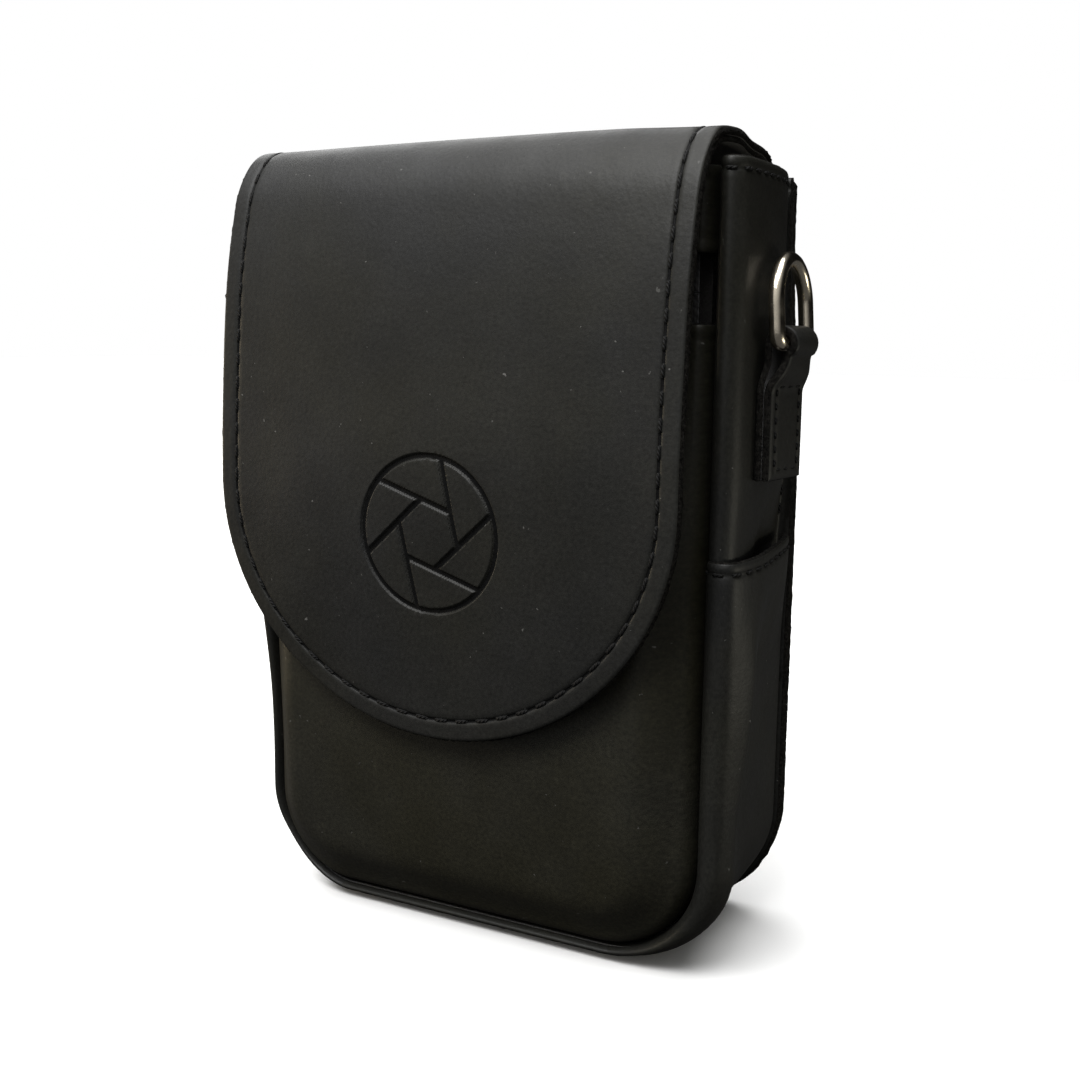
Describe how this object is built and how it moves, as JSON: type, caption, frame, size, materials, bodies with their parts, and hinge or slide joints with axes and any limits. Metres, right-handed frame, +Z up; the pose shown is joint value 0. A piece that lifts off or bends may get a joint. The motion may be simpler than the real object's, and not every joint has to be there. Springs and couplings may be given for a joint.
{
  "type": "leather flap case",
  "caption": "Upright black leather flap case: rounded flap folding over the top, puffed front with a zip, bellied gusset, slip side pockets and metal D-rings for a strap.",
  "frame": {"origin": "middle of the flat base, on the surface the case stands on", "axes": "+X to the right seen from the front, +Y from the front to the back panel, +Z up"},
  "size_m": [0.1318, 0.0587, 0.1657],
  "materials": {
    "leather": "matte smooth black leather",
    "lining": "matte black flesh-side leather",
    "zip_tape": "woven black polyester tape",
    "zip_coil": "black nylon coil",
    "nickel": "polished nickel plate",
    "magnet": "plated steel disc"
  },
  "bodies": {
    "case": {"back_panel": "leather", "back_lining": "lining", "gusset": "leather", "front_upper_strip": "leather", "front_lower_panel": "leather", "front_inner_wall": "lining", "zip_tape_upper": "zip_tape", "zip_tape_lower": "zip_tape", "zip_coil_upper": "zip_coil", "zip_coil_lower": "zip_coil", "zip_top_stop": "nickel", "zip_bottom_stop": "nickel", "side_pocket_right": "leather", "side_pocket_left": "leather", "ring_tab_right": "leather", "ring_tab_left": "leather", "panel_magnet": "magnet"},
    "flap_neck": {"flap_neck_outer": "leather", "flap_neck_lining": "lining"},
    "flap_top": {"flap_top_outer": "leather", "flap_top_lining": "lining"},
    "flap_front": {"flap_front_outer": "leather", "flap_front_lining": "lining", "flap_magnet": "magnet"},
    "slider": {"zip_slider": "nickel"},
    "pull": {"zip_pull": "nickel"},
    "ring_right": {"strap_ring_right": "nickel"},
    "ring_left": {"strap_ring_left": "nickel"}
  },
  "joints": [
    {"name": "flap_hinge", "type": "hinge", "parent": "case", "child": "flap_neck", "pos_m": [0, 0.021, 0.1555], "axis": [-1, 0, 0], "range_deg": [0, 100]},
    {"name": "flap_roll", "type": "hinge", "parent": "flap_neck", "child": "flap_top", "pos_m": [0, 0.014, 0.1651], "axis": [-1, 0, 0], "range_deg": [0, 100]},
    {"name": "flap_bend", "type": "hinge", "parent": "flap_top", "child": "flap_front", "pos_m": [0, -0.0304, 0.1573], "axis": [-1, 0, 0], "range_deg": [0, 80]},
    {"name": "zip_slide", "type": "slide", "parent": "case", "child": "slider", "axis": [1, 0, 0], "range_m": [0, 0.08]},
    {"name": "pull_swing", "type": "hinge", "parent": "slider", "child": "pull", "pos_m": [-0.04, -0.0265, 0.13495], "axis": [0, 1, 0], "range_deg": [-70, 70]},
    {"name": "ring_right_swing", "type": "hinge", "parent": "case", "child": "ring_right", "pos_m": [0.0625, -0.0062, 0.1258], "axis": [0, 1, 0], "range_deg": [0, 165]},
    {"name": "ring_left_swing", "type": "hinge", "parent": "case", "child": "ring_left", "pos_m": [-0.0625, -0.0062, 0.1258], "axis": [0, -1, 0], "range_deg": [0, 165]}
  ],
  "couplings": [
    {"joint": "flap_roll", "follows": "flap_hinge", "ratio": 1},
    {"joint": "flap_bend", "follows": "flap_hinge", "ratio": 0.76}
  ]
}
